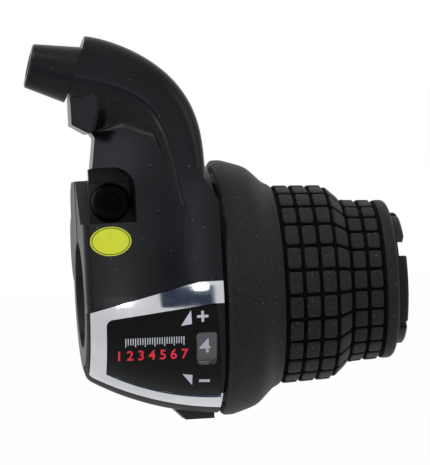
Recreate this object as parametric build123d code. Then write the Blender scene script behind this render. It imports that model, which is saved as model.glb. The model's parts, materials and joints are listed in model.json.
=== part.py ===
from build123d import *

import os
from math import asin, cos, hypot, radians, sin, sqrt, tan

# Right-hand twist grip shifter, in millimetres.
# X runs along the handlebar, outboard positive. Z is up. The rider looks along +Y.
# The origin is on the handlebar axis, in the plane of the grip's flange rim.

# Fits
bar_r = 11.1
bar_gap = 0.05
running_gap = 0.06
axial_gap = 0.1
seat_gap = 0.05
joint_gap = 0.12
turn_gap = 0.4

# Covers and base
edge_gap = 1.0
shell_length = 27.4
shell_r_inboard = 17.2
shell_r_outboard = 25.9
shell_crown_r = 60.0
cover_wall = 2.0
cover_inset = 0.5
end_round = 3.0
end_wall = 2.2
collar_wall = 2.4
hump_height = 23.8
hump_half_width = 15.0
hump_length = 12.6
hump_corner_r = 5.0
hump_back_r = 7.0
hump_front = 8.5
lobe_y = 13.8
lobe_z = 9.6
lobe_r = 7.0
tongue_low_y = -11.0
tongue_top_y = -1.0
foot_length = 8.6
foot_width = 9.0
foot_drop = 1.5
foot_chamfer = 2.2
foot_setback = 0.4

# Handlebar clamp
clamp_slot = 2.0
clamp_bolt_z = 18.9
clamp_bolt_inset = 6.5
bolt_r = 2.5
bolt_clearance = 0.25
bolt_head_r = 3.9
bolt_head_height = 4.0
hex_key = 4.0
hex_depth = 2.4
bolt_chamfer = 0.5
washer_r = 4.1
washer_t = 1.0
nut_width = 8.0
nut_t = 4.0
nut_y = 6.6

# Clamp pocket in the cover
pocket_width = 8.6
pocket_low_z = 14.6
pocket_height = 11.4
pocket_corner_r = 4.4
pocket_lap = 0.5

# Cable arm
arm_depth = 14.0
arm_back_y = -8.6
strip_width = 7.4
strip_round = 2.0
ridge_start_z = 18.0
ridge_inset = 0.35
ridge_sink = 0.1
ridge_lean = 8.0
ridge_bend_r = 23.0
ridge_growth = 1.1
ridge_stations = (0, 0.25, 0.5, 0.75, 1)
flank_lean = 1.2
flank_top_z = 32.3
flank_bend_z = 21.0
flank_bend_r = 45.0
flank_bend_angle = 26.0
field_low_z = -10.6
field_rise = 13.9
field_corner_r = 10.0
tip_inset = 2.4
tip_z = 53.2
tip_angle = 20.0
tip_width = 13.6
tip_depth = 13.2
tip_round = 5.4
chin_reach = 1.4
chin_low_z = 35.1
chin_top_z = 43.5
chin_width = 5.9
chin_drop = 2.8
chin_round = 3.0
chin_top_r = 4.5
chin_edge_r = 0.6
chin_front_y = -23.0
chin_back_y = -10.4
chin_slant = 3.2
cable_bend_r = 14.0
spool_r = 16.6
liner_r = 1.5
liner_bore_r = 0.9
liner_low_z = 17.6

# Cable nozzle
nozzle_length = 9.3
nozzle_root_r = 5.95
nozzle_end_r = 4.55
nozzle_round = 0.6
nozzle_drop = 8.35
nozzle_angle = 15.0
spigot_r = 3.6
spigot_length = 3.0
casing_r = 2.6
casing_depth = 8.0
wire_r = 1.0

# Indicator
bezel_proud = 0.35
bezel_wall = 1.8
bezel_top_inboard_z = -3.8
bezel_top_outboard_z = 1.75
bezel_flat = 4.9
bezel_side_width = 3.8
lens_t = 1.5
lens_inset = 0.35
lens_top_inboard_z = -5.4
lens_top_outboard_z = -2.8
lens_low_inboard_y = -10.6
lens_low_outboard_y = -13.6
lens_right_top = 1.7
lens_right_low = 0.4
lens_low_z = -22.0
lens_corner_r = 1.4
window_edge = 1.65
window_width = 4.05
window_height = 6.6
window_z = -12.0
window_corner_r = 0.6

# Sleeve
sleeve_wall = 1.45
sleeve_flange_r = 18.4
sleeve_flange_t = 1.5
tab_reach = 2.2
tab_outer_r = 13.9
tab_pairs = 3
tab_gaps = ((30.0, 20.0), (75.0, 8.0))
tab_chamfer = 0.4
tab_slot_depth = 1.5
thrust_washer_t = 0.5
thrust_washer_r = 17.2

# Grip
grip_length = 36.9
rim_step = 0.9
rim_width = 2.2
bell_x = 7.4
bell_drop = 1.6
drum_r = 20.95
drum_end_r = 20.45
nose_r = 17.1
nose_end_r = 16.65
drum_start_x = 11.5
drum_end_x = 23.6
nose_start_x = 27.3
rim_shoulder_r = 3.0
bell_r = 5.0
drum_start_r = 4.5
drum_shoulder_r = 2.4
nose_fillet_r = 2.4
grip_end_r = 2.4
rim_edge_r = 0.8
rim_back = 0.5
rubber_t = 2.6
block_start_x = 12.9
drum_pitch = 3.55
drum_columns = 3
taper_pitch = 3.5
nose_pitch = 3.35
nose_columns = 2
block_rows = 25
groove_width = 0.75
groove_depth = 0.8
block_turn = 4.6
core_wall = 1.9
core_tube_wall = 1.4
core_ribs = 6
core_rib_t = 1.6
end_washer_t = 0.6

# Spool, detent and dial
detent_width = 2.1
detent_r = 19.0
detent_depth = 0.8
detent_nose_r = 1.2
gear_count = 7
gear_angle = 15.0
spool_width = 5.2
spool_flange_t = 1.3
spool_flange_r = 18.8
spool_groove_inset = 1.2
spool_inset = 2.75
hub_r = 14.2
lug_reach = 4.0
lug_height = 2.8
nipple_r = 2.3
nipple_turn = 150.0
cable_groove_r = 0.9
dial_gap = 1.3
dial_t = 1.2
dial_width = 5.8
skirt_lip = 0.4
spring_t = 0.5
spring_drop = 0.9
spring_reach = 9.5
spring_tail = 2.0
spring_screw_y = 7.0
screw_r = 1.25
screw_head_r = 2.2
screw_head_t = 1.8
screw_head_y = 4.0
screw_reach = 7.5
pilot_spare = 1.0
boss_r = 2.9
cross_width = 0.7
pin_r = 0.8
pin_head_r = 1.5
pin_head_t = 0.8
pin_length = 2.6
spring_pad_y = 5.0
cover_screw_z = 22.2
bezel_screw_z = -17.0
cover_screw_gap = 5.4
bezel_screw_inset = 7.0

# Places that follow from the sizes above
bore_r = bar_r + bar_gap
edge_x = -edge_gap
end_x = edge_x - shell_length
collar_r = bore_r + collar_wall
sleeve_r = bore_r + sleeve_wall
core_bore_r = sleeve_r + running_gap
spool_x = edge_x - spool_inset - spool_width
detent_x = spool_x - seat_gap - detent_width
washer_x = detent_x - axial_gap - thrust_washer_t
collar_end_x = washer_x - sleeve_flange_t
cable_x = spool_x + spool_groove_inset
tab_x = grip_length + end_washer_t
rim_r = shell_r_outboard + rim_step
dial_r = shell_r_outboard - cover_wall - dial_gap
foot_height = shell_r_outboard + foot_drop
tip_x = end_x + tip_inset
chin_x = end_x - chin_reach
far = 60.0
overcut = 1.0


def spring_low_z():
    """Underside of the detent leaf, under the ring's lowest notch."""
    return -(detent_r + spring_drop + spring_t)


def shell_centre():
    """Centre of the arc that shapes the covers, from its two ends and its radius."""
    half_chord = hypot(shell_length, shell_r_outboard - shell_r_inboard) / 2
    lean = asin((shell_r_outboard - shell_r_inboard) / (2 * half_chord))
    depth = sqrt(shell_crown_r**2 - half_chord**2)
    middle_r = (shell_r_inboard + shell_r_outboard) / 2
    return (end_x + edge_x) / 2 + depth * sin(lean), middle_r - depth * cos(lean)


shell_centre_x, shell_centre_r = shell_centre()


def shell_r(x):
    """Outer radius of the covers at a place along the bar."""
    return shell_centre_r + sqrt(shell_crown_r**2 - (x - shell_centre_x) ** 2)


def shell_profile(x0, x1, offset):
    """Face under the covers' arc, moved out by offset, down to the bar axis."""
    middle = (x0 + x1) / 2
    ends = [(x, shell_r(x) + offset) for x in (x0, middle, x1)]
    arc = ThreePointArc(*ends)
    rest = Polyline(ends[2], (x1, 0), (x0, 0), ends[0])
    return make_face([arc, rest])


def shell_solid(x0, x1, offset):
    return revolve(shell_profile(x0, x1, offset), Axis.X)


def tube(x0, x1, outer, inner):
    """Plain ring about the bar axis."""
    wall = Pos((x0 + x1) / 2, 0, 0) * Rot(0, 90, 0) * Cylinder(outer, x1 - x0)
    return wall - Pos((x0 + x1) / 2, 0, 0) * Rot(0, 90, 0) * Cylinder(inner, x1 - x0 + 2 * overcut)


def rod(x, z, y0, y1, radius):
    """Round bar along Y."""
    return Pos(x, (y0 + y1) / 2, z) * Rot(90, 0, 0) * Cylinder(radius, y1 - y0)


def block(x0, x1, y0, y1, z0, z1):
    size = Box(x1 - x0, y1 - y0, z1 - z0)
    return Pos((x0 + x1) / 2, (y0 + y1) / 2, (z0 + z1) / 2) * size


def front_prism(face, y0, y1):
    """Solid with a front-view outline, given as a face in X and Z, between two depths."""
    return Pos(0, y1, 0) * extrude(Plane.XZ * face, y1 - y0)


def front_face(points, radius):
    return make_face(FilletPolyline(*points, radius=radius, close=True))


def under_line(gap):
    """Everything in front view under the bezel's upper edge, raised by gap, in front of the parting plane."""
    bend_x = edge_x - bezel_flat
    slope = (bezel_top_outboard_z - bezel_top_inboard_z) / (bend_x - end_x)
    low_z = bezel_top_outboard_z - slope * (bend_x + far)
    corners = [(-far, low_z + gap), (bend_x, bezel_top_outboard_z + gap), (far, bezel_top_outboard_z + gap)]
    return front_prism(make_face(Polyline(*corners, (far, -far), (-far, -far), close=True)), -far, -joint_gap / 2)


def outer_shell(offset):
    """Full turned form of the covers, with the rounded inboard edge."""
    face = shell_profile(end_x, edge_x, offset)
    corner = face.vertices().sort_by_distance((end_x, shell_r_inboard + offset))[0]
    return revolve(fillet(corner, end_round), Axis.X)


def front_wall(offset):
    """Upright continuation of the covers' front line, from the bar axis up, leaning back in its upper part."""
    middle = (end_x + edge_x) / 2
    ends = [(x, -shell_r(x) - offset) for x in (end_x, middle, edge_x)]
    back = Polyline(ends[2], (edge_x, arm_back_y), (end_x, arm_back_y), ends[0])
    face = make_face([ThreePointArc(*ends), back])
    corner = face.vertices().sort_by_distance(ends[0])[0]
    plan = fillet(corner, end_round)
    lean_axis = Axis((0, flank_bend_r - shell_r(middle), flank_bend_z), (-1, 0, 0))
    return extrude(plan, flank_bend_z) + revolve(Pos(0, 0, flank_bend_z) * plan, lean_axis, flank_bend_angle)


# Cable arm: the ridge's outer edge leans up from the outboard edge and bends over to the tip.
def arm_path():
    start = (edge_x - ridge_inset, ridge_start_z)
    up = (-sin(radians(ridge_lean)), cos(radians(ridge_lean)))
    back = (cos(radians(tip_angle)), -sin(radians(tip_angle)))
    gap_x = tip_x - start[0]
    gap_z = tip_z - start[1]
    reach = (gap_z * back[0] - gap_x * back[1]) / (up[1] * back[0] - up[0] * back[1])
    corner = (start[0] + reach * up[0], start[1] + reach * up[1])
    return Plane.XZ * FilletPolyline(start, corner, (tip_x, tip_z), radius=ridge_bend_r)


def ridge_width(t):
    return strip_width + (tip_width - strip_width) * t**ridge_growth


def ridge_centre(path, t):
    """Middle of the ridge, in front view, at a share t of its outer edge."""
    return path @ t + (path % t).cross(Vector(0, 1, 0)) * (ridge_width(t) / 2)


def arm_section(path, t):
    """Rounded section of the ridge, inside its outer edge, at a share t of the path."""
    along = path % t
    inward = along.cross(Vector(0, 1, 0))
    depth = arm_depth + (tip_depth - arm_depth) * t
    start_y = ridge_sink - shell_r(edge_x - strip_width / 2) + arm_depth / 2
    y = start_y + (-spool_r - start_y) * t
    slope = (shell_r(edge_x) - shell_r(edge_x - strip_width)) / strip_width
    across = (inward + Vector(0, slope * (1 - t), 0)).normalized()
    rounding = strip_round + (tip_round - strip_round) * t
    place = ridge_centre(path, t)
    plane = Plane(origin=(place.X, y, place.Z), x_dir=across, z_dir=along)
    return plane * RectangleRounded(ridge_width(t), depth, rounding)


def arm_chin():
    """Lobe under the arm's end, with its front slanting back towards the end."""
    right = chin_x + chin_width
    low = chin_low_z - chin_drop
    outline = front_face(
        [
            (chin_x, chin_top_z),
            (right, chin_top_z),
            (right, chin_low_z + chin_drop),
            (right - chin_drop / 2, low),
            (chin_x, chin_low_z),
        ],
        [0, chin_top_r, chin_round, chin_round / 2, 0],
    )
    lobe = front_prism(outline, chin_front_y, chin_back_y)
    slant = [(chin_x, chin_front_y + chin_slant), (right, chin_front_y), (right, -far), (-far, -far)]
    corner = extrude(make_face(Polyline(*slant, (-far, chin_front_y + chin_slant), close=True)), far)
    lobe -= corner
    return fillet(lobe.faces().sort_by(Axis.Y)[0].edges(), chin_edge_r)


def cable_path():
    """Cable line from the nozzle root to the spool's tangent, in the plane of the spool's front."""
    inward = (cos(radians(nozzle_angle)), -sin(radians(nozzle_angle)))
    root = nozzle_root()
    reach = (cable_x - root[0]) / inward[0]
    corner = (cable_x, root[1] + reach * inward[1])
    low = (cable_x, liner_low_z)
    start = (root[0] + spigot_length * inward[0], root[1] + spigot_length * inward[1])
    return Pos(0, -spool_r, 0) * (Plane.XZ * FilletPolyline(start, corner, low, radius=cable_bend_r))


def nozzle_root():
    """Where the nozzle's axis leaves the arm's end face."""
    return tip_x - nozzle_drop * sin(radians(tip_angle)), tip_z - nozzle_drop * cos(radians(tip_angle))


def nozzle_plane():
    x, z = nozzle_root()
    outward = (-cos(radians(nozzle_angle)), 0, sin(radians(nozzle_angle)))
    return Plane(origin=(x, -spool_r, z), x_dir=(0, 1, 0), z_dir=outward)


def arm_end():
    """Everything on the arm's side of its end face."""
    outward = (-cos(radians(tip_angle)), 0, sin(radians(tip_angle)))
    return Plane(origin=(tip_x, 0, tip_z), z_dir=outward) * (Pos(0, 0, -far) * Box(2 * far, 2 * far, 2 * far))


def pipe(path, radius):
    start = Plane(origin=path @ 0, z_dir=path % 0)
    return sweep(start * Circle(radius), path=path)


def clamp_hump(grow):
    """Upper block of the base that carries the clamp bolt, as a solid grown by a gap."""
    half = hump_half_width + grow
    top = hump_height + grow
    corners = [(-half, 0), (half, 0), (half, top), (-half, top)]
    radii = [0, 0, hump_back_r, hump_corner_r]
    face = make_face(FilletPolyline(*corners, radius=radii, close=True))
    whole = Pos(end_x, 0, 0) * extrude(Plane.YZ * face, hump_length + grow)
    ear_front = block(end_x, far, -far, -hump_front - grow, -far, far)
    ear_front -= block(end_x, end_x + end_wall + grow, -far, far, -far, far)
    return whole - ear_front


def clamp_tongue(grow):
    """Front lip of the base's end wall, beside the clamp pocket."""
    low = pocket_low_z + joint_gap - grow
    front = shell_r_inboard - cover_inset
    corners = [(-front, low), (0, low), (0, hump_height), (-front, hump_height)]
    face = make_face(FilletPolyline(*corners, radius=[0, 0, 0, hump_corner_r], close=True))
    return Pos(end_x, 0, 0) * extrude(Plane.YZ * face, end_wall + grow)


def tongue_cut():
    """Space in front of the slanting front edge of the base's end wall."""
    top = hump_height + overcut
    corners = [(tongue_low_y, pocket_low_z), (tongue_top_y, top), (-far, top), (-far, pocket_low_z)]
    face = make_face(Polyline(*corners, close=True))
    return Pos(end_x - overcut, 0, 0) * extrude(Plane.YZ * face, end_wall + overcut)


def clamp_axis_x():
    return end_x + clamp_bolt_inset


def screw_places():
    """Front-view places of the two screws that come in from behind."""
    return [(end_x + hump_length + cover_screw_gap, cover_screw_z), (end_x + bezel_screw_inset, bezel_screw_z)]


def base_housing():
    behind = block(-far, far, joint_gap / 2, far, -far, far)
    cavity = shell_solid(end_x + end_wall, edge_x + overcut, -cover_wall)
    shell = (outer_shell(0) - cavity) & behind
    end_plate = tube(end_x, end_x + end_wall, shell_r_inboard - cover_wall - joint_gap, bore_r)
    collar = tube(end_x, collar_end_x, collar_r, bore_r)
    foot_outline = front_face(
        [
            (edge_x - foot_length, -shell_r_inboard),
            (edge_x - foot_length, foot_chamfer - foot_height),
            (edge_x - foot_length + foot_chamfer, -foot_height),
            (edge_x - foot_setback, -foot_height),
            (edge_x - foot_setback, -shell_r_inboard),
        ],
        0,
    )
    foot = front_prism(foot_outline, foot_setback, foot_width) - cavity
    bosses = [rod(x, z, joint_gap / 2, far, boss_r) & outer_shell(0) for x, z in screw_places()]
    pad_low = -shell_r(detent_x)
    pad = block(detent_x, detent_x + detent_width, spring_pad_y, spring_reach, pad_low, spring_low_z())
    pad = pad & outer_shell(0)
    lobe = Pos(end_x + hump_length / 2, lobe_y, lobe_z) * Rot(0, 90, 0) * Cylinder(lobe_r, hump_length)
    body = shell
    for piece in [end_plate, collar, clamp_hump(0), clamp_tongue(0), lobe, foot, pad] + bosses:
        body += piece
    body -= tongue_cut()
    body -= block(end_x - overcut, collar_end_x + overcut, -clamp_slot / 2, clamp_slot / 2, 0, far)
    nut_side = nut_width / 2 + seat_gap
    nut_place = Pos(clamp_axis_x(), (nut_y + far) / 2, clamp_bolt_z)
    body -= nut_place * Box(2 * nut_side, far - nut_y, 2 * nut_side)
    body -= rod(clamp_axis_x(), clamp_bolt_z, -far, nut_y + overcut, bolt_r + bolt_clearance)
    for x, z in screw_places():
        body -= rod(x, z, 0, screw_head_y + overcut, screw_r + seat_gap)
        body -= rod(x, z, screw_head_y, far, screw_head_r + seat_gap)
    pin_low = spring_low_z() + spring_t - pin_length - seat_gap
    body -= Pos(detent_x + detent_width / 2, spring_screw_y, pin_low / 2) * Cylinder(pin_r + seat_gap, -pin_low)
    body -= Rot(0, 90, 0) * Cylinder(bore_r, 2 * far)
    return body


def front_cover():
    ahead = block(-far, far, -far, -joint_gap / 2, -far, far)
    path = arm_path()
    ridge = loft([arm_section(path, t) for t in ridge_stations])
    flank_left = end_x + end_wall
    flank = front_face(
        [
            (end_x, -far),
            (end_x, pocket_low_z),
            (flank_left, pocket_low_z),
            (flank_left, hump_height),
            (flank_left + flank_lean, flank_top_z),
            (chin_x + chin_width / 2, chin_low_z),
            (chin_x + chin_width / 2, chin_top_z),
            *[tuple(ridge_centre(path, t))[::2] for t in reversed(ridge_stations[1:-1])],
            (edge_x, ridge_start_z),
            (edge_x, -far),
        ],
        0,
    )
    upright = front_wall(0) & front_prism(flank, -far, arm_back_y)
    inside = shell_solid(end_x - overcut, edge_x + overcut, -cover_wall) & block(-far, far, -far, 0, -far, far)
    body = (outer_shell(0) & ahead) - inside
    body += upright - inside
    field = front_face(
        [
            (-far, field_low_z),
            (edge_x - strip_width, field_low_z + field_rise),
            (edge_x - strip_width, ridge_start_z),
            (edge_x - strip_width - far * tan(radians(ridge_lean)), far),
            (-far, far),
        ],
        [0, field_corner_r, 0, 0, 0],
    )
    floor = outer_shell(-cover_inset) + front_wall(-cover_inset)
    body -= front_prism(field, -far, arm_back_y) - floor
    body += ridge - inside
    body -= block(-far, chin_x, -far, 0, 0, tip_z - tip_width / 2)
    body += arm_chin()
    body -= under_line(joint_gap)
    body -= [clamp_hump(joint_gap), clamp_tongue(joint_gap)]
    pocket = front_face(
        [
            (end_x, pocket_low_z),
            (end_x + end_wall + pocket_width, pocket_low_z),
            (end_x + end_wall + pocket_width, pocket_low_z + pocket_height),
            (end_x, pocket_low_z + pocket_height),
        ],
        [0, 0, pocket_corner_r, 0],
    )
    body -= front_prism(pocket, -far, -hump_front)
    lip_top = pocket_low_z + pocket_height
    lip_right = flank_left + pocket_width
    lip_y = -hump_front - joint_gap
    body += block(flank_left, lip_right, lip_y - cover_wall, lip_y, hump_height - pocket_lap, lip_top)
    body -= pipe(cable_path(), liner_r + seat_gap)
    body -= Pos(cable_x, -spool_r, liner_low_z - far / 2) * Cylinder(wire_r, far)
    body -= nozzle_plane() * Cylinder(spigot_r + seat_gap, 2 * (spigot_length + seat_gap))
    x, z = screw_places()[0]
    body -= rod(x, z, -screw_reach - pilot_spare, far, screw_r + seat_gap)
    return body


def lens_outline(grow):
    """Space of the lens in front view and behind, grown by a gap."""
    left = end_x + bezel_side_width - grow
    top_right = edge_x - lens_right_top + grow
    low_right = edge_x - lens_right_low + grow
    right_slope = (low_right - top_right) / (lens_top_outboard_z - lens_low_z)
    corners = [
        (left, lens_top_inboard_z + grow),
        (top_right, lens_top_outboard_z + grow),
        (top_right + right_slope * (lens_top_outboard_z + far), -far),
        (left, -far),
    ]
    outline = front_prism(front_face(corners, [lens_corner_r, 0, 0, 0]), -far, 0)
    slope = (lens_low_outboard_y - lens_low_inboard_y) / (edge_x - left)
    back = [(x, lens_low_inboard_y + grow + slope * (x - left)) for x in (-far, far)]
    behind = make_face(Polyline(*back, (far, far), (-far, far), close=True))
    return outline - Pos(0, 0, -far) * extrude(behind, 2 * far)


def indicator_bezel():
    ring = outer_shell(bezel_proud) - shell_solid(end_x - overcut, edge_x + overcut, bezel_proud - bezel_wall)
    frame = (ring & under_line(0)) - lens_outline(seat_gap)
    x, z = screw_places()[1]
    boss = rod(x, z, -screw_reach - 2 * pilot_spare, -joint_gap / 2, boss_r)
    boss = boss & shell_solid(end_x, edge_x, bezel_proud - bezel_wall / 2)
    boss -= lens_outline(seat_gap)
    return frame + boss - rod(x, z, -screw_reach - pilot_spare, far, screw_r + seat_gap)


def lens_skin():
    skin = shell_solid(end_x + overcut, edge_x, bezel_proud - lens_inset)
    skin -= shell_solid(end_x, edge_x + overcut, bezel_proud - lens_inset - lens_t)
    return skin & lens_outline(0)


def window_prism(grow):
    """Front-view outline of the clear window in the lens, grown by a gap."""
    face = RectangleRounded(window_width + 2 * grow, window_height + 2 * grow, window_corner_r)
    return front_prism(Pos(edge_x - window_edge - window_width / 2, window_z) * face, -far, 0)


def indicator_lens():
    return lens_skin() - window_prism(seat_gap)


def indicator_window():
    return lens_skin() & window_prism(0)


def cable_nozzle():
    taper = Pos(0, 0, nozzle_length / 2) * Cone(nozzle_root_r, nozzle_end_r, nozzle_length)
    rim = taper.edges().group_by(Axis.Z)[-1]
    root = Pos(0, 0, -spigot_length / 2) * Cylinder(nozzle_root_r, spigot_length)
    body = fillet(rim, nozzle_round) + root
    body -= nozzle_plane().location.inverse() * arm_end()
    body += Pos(0, 0, -spigot_length / 2) * Cylinder(spigot_r, spigot_length)
    mouth = nozzle_length - casing_depth / 2
    body -= Pos(0, 0, mouth) * Cylinder(casing_r, casing_depth)
    body -= Cylinder(wire_r, 4 * nozzle_length)
    return nozzle_plane() * body


def cable_liner():
    path = cable_path()
    return pipe(path, liner_r) - pipe(path, liner_bore_r)


def clamp_bolt():
    x = clamp_axis_x()
    seat = -hump_front - washer_t
    head = rod(x, clamp_bolt_z, seat - bolt_head_height, seat, bolt_head_r)
    rim = head.edges().group_by(Axis.Y)[0]
    head = chamfer(rim, bolt_chamfer)
    shank = rod(x, clamp_bolt_z, seat, nut_y + nut_t, bolt_r)
    socket = RegularPolygon(hex_key / 2, 6, major_radius=False)
    key = extrude(Plane.XZ * socket, hex_depth)
    return head + shank - Pos(x, seat - bolt_head_height + hex_depth, clamp_bolt_z) * key


def clamp_washer():
    seat = -hump_front
    disc = rod(clamp_axis_x(), clamp_bolt_z, seat - washer_t, seat, washer_r)
    return disc - rod(clamp_axis_x(), clamp_bolt_z, seat - far, seat + far, bolt_r + seat_gap)


def clamp_nut():
    body = Pos(clamp_axis_x(), nut_y + nut_t / 2, clamp_bolt_z) * Box(nut_width, nut_t, nut_width)
    return body - rod(clamp_axis_x(), clamp_bolt_z, -far, far, bolt_r + seat_gap)


def cover_screws():
    """Pan-head screws from behind, with a cross recess."""
    screws = []
    for x, z in screw_places():
        head = rod(x, z, screw_head_y, screw_head_y + screw_head_t, screw_head_r)
        head = fillet(head.edges().group_by(Axis.Y)[-1], screw_head_t / 3)
        shank = rod(x, z, -screw_reach, screw_head_y, screw_r)
        arm = Box(screw_head_r, screw_head_t, cross_width)
        cross = arm + Rot(0, 90, 0) * arm
        screws.append(head + shank - Pos(x, screw_head_y + screw_head_t, z) * cross)
    return Compound(children=screws)


def detent_spring():
    """Leaf with a round nose that sits in the ring's lowest notch."""
    x0 = detent_x + seat_gap
    x1 = detent_x + detent_width - seat_gap
    low = spring_low_z()
    leaf = block(x0, x1, -spring_tail, spring_reach, low, low + spring_t)
    nose_z = detent_depth - detent_r - detent_nose_r
    nose = Pos((x0 + x1) / 2, 0, nose_z) * Rot(0, 90, 0) * Cylinder(detent_nose_r, x1 - x0)
    nose -= block(x0 - overcut, x1 + overcut, -far, far, -far, low)
    pin_x = detent_x + detent_width / 2
    return leaf + nose - Pos(pin_x, spring_screw_y, low) * Cylinder(pin_r + seat_gap, far)


def spring_screw():
    top = spring_low_z() + spring_t
    head = Pos(0, 0, top + pin_head_t / 2) * Cylinder(pin_head_r, pin_head_t)
    shank = Pos(0, 0, top - pin_length / 2) * Cylinder(pin_r, pin_length)
    slot = Pos(0, 0, top + pin_head_t) * Box(cross_width, far, pin_head_t)
    return Pos(detent_x + detent_width / 2, spring_screw_y, 0) * (head + shank - slot)


def bar_sleeve():
    """Tube that the grip turns on, with a seat flange inboard and snap tabs outboard."""
    end = grip_length + tab_reach
    body = tube(collar_end_x, end, sleeve_r, bore_r)
    body += tube(collar_end_x, washer_x, sleeve_flange_r, bore_r)
    hooks = tube(tab_x, end, tab_outer_r, bore_r)
    hooks = chamfer(hooks.edges().group_by(Axis.X)[-1].sort_by(Edge.length)[-1], tab_chamfer)
    body += hooks
    step = 360 / tab_pairs
    reach = end - tab_x + tab_slot_depth
    for pair in range(tab_pairs):
        for rise, gap in tab_gaps:
            width = 2 * tab_outer_r * sin(radians(gap / 2))
            notch = Pos(end - reach / 2 + overcut, -tab_outer_r, 0) * Box(reach + 2 * overcut, tab_outer_r, width)
            body -= Rot(-rise - pair * step, 0, 0) * notch
    return body


def thrust_washer():
    return tube(washer_x, washer_x + thrust_washer_t, thrust_washer_r, sleeve_r + turn_gap)


def end_washer():
    x0 = tab_x - end_washer_t + axial_gap
    return tube(x0, tab_x, tab_outer_r, sleeve_r + seat_gap)


def grip_face(inset):
    """Half section of the grip's outside, taken in by inset, down to the bar axis."""
    outline = FilletPolyline(
        (0, 0),
        (0, rim_r - inset),
        (rim_width, rim_r - inset),
        (bell_x, rim_r - bell_drop - inset),
        (drum_start_x, drum_r - inset),
        (drum_end_x, drum_end_r - inset),
        (nose_start_x, nose_r - inset),
        (grip_length, nose_end_r - inset),
        (grip_length, 0),
        radius=[rim_edge_r, rim_shoulder_r, bell_r, drum_start_r, drum_shoulder_r, nose_fillet_r, grip_end_r],
    )
    return make_face([outline, Line((grip_length, 0), (0, 0))])


def groove_places():
    """Ring grooves between the block columns: drum, taper, then nose."""
    places = [block_start_x + drum_pitch * i for i in range(drum_columns + 1)]
    places.append(places[-1] + taper_pitch)
    nose_start = places[-1]
    places += [nose_start + nose_pitch * (i + 1) for i in range(nose_columns)]
    return places


def core_outline(grow):
    """Outside of the core under the rubber, as a half section down to the bar axis."""
    tube_r = core_bore_r + core_tube_wall + grow
    outline = Polyline(
        (rim_back, 0),
        (rim_back, rim_r - rubber_t + grow),
        (rim_width, rim_r - rubber_t + grow),
        (bell_x - rubber_t, rim_r - bell_drop - rubber_t + grow),
        (drum_start_x - rubber_t / 2, drum_r - rubber_t + grow),
        (drum_end_x - rubber_t / 2, drum_r - rubber_t + grow),
        (nose_start_x - rubber_t / 2, tube_r),
        (grip_length + overcut, tube_r),
        (grip_length + overcut, 0),
        close=True,
    )
    return revolve(make_face(outline), Axis.X)


def rubber_grip():
    floor = revolve(grip_face(groove_depth), Axis.X)
    places = groove_places()
    rings = [tube(x - groove_width / 2, x + groove_width / 2, rim_r, bore_r) for x in places]
    slab_x = (places[0] + places[-1]) / 2
    slab = Pos(slab_x, 0, rim_r / 2) * Box(places[-1] - places[0], groove_width, rim_r)
    slabs = [Rot(360 / block_rows * i - block_turn, 0, 0) * slab for i in range(block_rows)]
    body = revolve(grip_face(0), Axis.X)
    body -= [ring - floor for ring in rings]
    body -= [bar - floor for bar in slabs]
    body -= core_outline(seat_gap)
    return body - tube(-overcut, rim_back + seat_gap, rim_r - rubber_t + seat_gap, 0)


def core_shell():
    """Hollow under the core's skin, open towards the housing."""
    inner = core_outline(-core_wall)
    inner -= tube(-far, far, core_bore_r + core_tube_wall, 0)
    return inner - tube(drum_end_x - core_wall, far, far, 0)


def rib_slabs(thickness, x0, x1):
    slab = Pos((x0 + x1) / 2, 0, rim_r / 2) * Box(x1 - x0, thickness, rim_r)
    return [Rot(360 / core_ribs * i, 0, 0) * slab for i in range(core_ribs)]


def grip_core():
    end = grip_length - axial_gap
    body = core_outline(0) - tube(end, far, far, 0)
    body -= core_shell() - rib_slabs(core_rib_t, rim_back, far)
    seat_r = dial_r - dial_t - seat_gap
    skirt = tube(skirt_x(), rim_back + core_wall, seat_r, seat_r - core_wall)
    body += skirt
    body += tube(spool_x + spool_width + seat_gap, rim_back + core_wall, core_bore_r + core_tube_wall, core_bore_r)
    body -= tube(-far, rim_back + core_wall, seat_r - core_wall, core_bore_r + core_tube_wall)
    return body - Rot(0, 90, 0) * Cylinder(core_bore_r, 4 * far)


def skirt_x():
    return edge_x - dial_width - skirt_lip


def cable_spool():
    """Drum that winds the cable, with a hub for the detent ring and lugs that drive it from the core."""
    end = spool_x + spool_width
    body = tube(spool_x, end, spool_flange_r, core_bore_r)
    body += tube(detent_x, spool_x + spool_flange_t, hub_r, core_bore_r)
    groove = Circle(cable_groove_r) + Pos(0, far / 2) * Rectangle(2 * cable_groove_r, far)
    body -= revolve(Pos(cable_x, spool_r) * groove, Axis.X)
    lug_low = core_bore_r + core_tube_wall + seat_gap
    lugs = tube(spool_x + spool_flange_t, rim_back + lug_reach, lug_low + lug_height, lug_low)
    lugs -= tube(spool_x, end, far, 0)
    lugs -= rib_slabs(core_rib_t + 2 * seat_gap, end, far)
    nipple = Pos(end, spool_r, 0) * Rot(0, 90, 0) * Cylinder(nipple_r, 2 * (end - cable_x))
    return body + lugs.solids() - Rot(nipple_turn, 0, 0) * nipple


def detent_ring():
    """Ring with one notch per gear; the middle notch faces down at rest."""
    body = tube(detent_x, detent_x + detent_width, detent_r, hub_r + seat_gap)
    middle = (gear_count - 1) / 2
    centre = detent_r + detent_nose_r - detent_depth
    notch = Pos(detent_x, 0, -centre) * Rot(0, 90, 0) * Cylinder(detent_nose_r + seat_gap, far)
    return body - [Rot(gear_angle * (i - middle), 0, 0) * notch for i in range(gear_count)]


def indicator_dial():
    return tube(edge_x - dial_width, edge_x, dial_r, dial_r - dial_t)


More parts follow.
